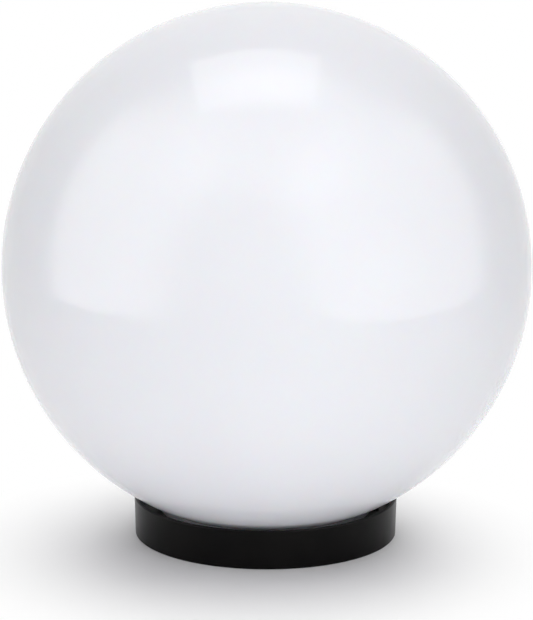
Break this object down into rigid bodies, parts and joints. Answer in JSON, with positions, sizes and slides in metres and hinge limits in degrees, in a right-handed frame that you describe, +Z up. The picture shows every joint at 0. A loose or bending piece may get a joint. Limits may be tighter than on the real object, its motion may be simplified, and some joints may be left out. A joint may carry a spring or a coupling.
{
  "type": "garden globe light",
  "caption": "Round opal globe on a low black base: twists off over a screw-in lamp, lampholder, terminal block and seals.",
  "frame": {"origin": "centre of the round footprint, on the surface that the base stands on", "axes": "+Z up along the globe's, base's and lamp's common axis; -Y towards the viewer of the picture; +X to the viewer's right"},
  "size_m": [0.25, 0.2498, 0.2546],
  "materials": {
    "opal_acrylic": "glossy opal",
    "black_plastic": "satin moulded",
    "seal_rubber": "smooth",
    "foam_rubber": "closed cell foam",
    "pillar_plastic": "fine moulded",
    "porcelain": "glazed",
    "brass": "bare",
    "zinc_steel": "zinc plated",
    "block_plastic": "natural nylon",
    "live_insulation": "brown",
    "neutral_insulation": "blue",
    "lamp_diffuser": "frosted opal",
    "lamp_shell": "smooth white",
    "nickel": "nickel plated",
    "cap_glass": "black fused glass",
    "led_plate": "white lacquered",
    "led_phosphor": "yellow phosphor",
    "circuit_board": "green lacquered",
    "capacitor_sleeve": "shrink sleeve"
  },
  "bodies": {
    "base": {"base": "black_plastic", "globe_gasket": "seal_rubber", "foot_gasket": "foam_rubber", "cable_grommet": "seal_rubber", "lampholder_pillar": "pillar_plastic", "pillar_screws": "zinc_steel", "lampholder_body": "porcelain", "lampholder_screws": "zinc_steel", "lampholder_thread_shell": "brass", "centre_contact": "brass", "contact_rivets": "brass", "live_terminal": "brass", "neutral_terminal": "brass", "terminal_clamp_screws": "zinc_steel", "terminal_block_body": "block_plastic", "terminal_block_inserts": "brass", "terminal_block_clamp_screws": "zinc_steel", "terminal_block_fixing_screw": "zinc_steel", "live_wire": "live_insulation", "neutral_wire": "neutral_insulation"},
    "globe": {"globe": "opal_acrylic"},
    "lamp_travel": {"lamp_tip_contact": "nickel", "lamp_tip_lead": "nickel"},
    "lamp": {"lamp_envelope": "lamp_diffuser", "lamp_housing": "lamp_shell", "lamp_cap": "nickel", "lamp_cap_insulator": "cap_glass", "led_board": "led_plate", "led_chips": "led_phosphor", "driver_board": "circuit_board", "driver_capacitor": "capacitor_sleeve", "driver_pins": "brass"}
  },
  "joints": [
    {"name": "globe_twist", "type": "hinge", "parent": "base", "child": "globe", "pos_m": [0, 0, 0.0095], "axis": [0, 0, 1], "range_deg": [0, 35]},
    {"name": "lamp_rise", "type": "slide", "parent": "base", "child": "lamp_travel", "axis": [0, 0, 1], "range_m": [0, 0.01814]},
    {"name": "lamp_turn", "type": "hinge", "parent": "lamp_travel", "child": "lamp", "pos_m": [0, 0, 0.0425], "axis": [0, 0, 1], "range_deg": [0, 1800]}
  ],
  "couplings": [
    {"joint": "lamp_turn", "follows": "lamp_rise", "rad_per_m": 1731.4}
  ]
}
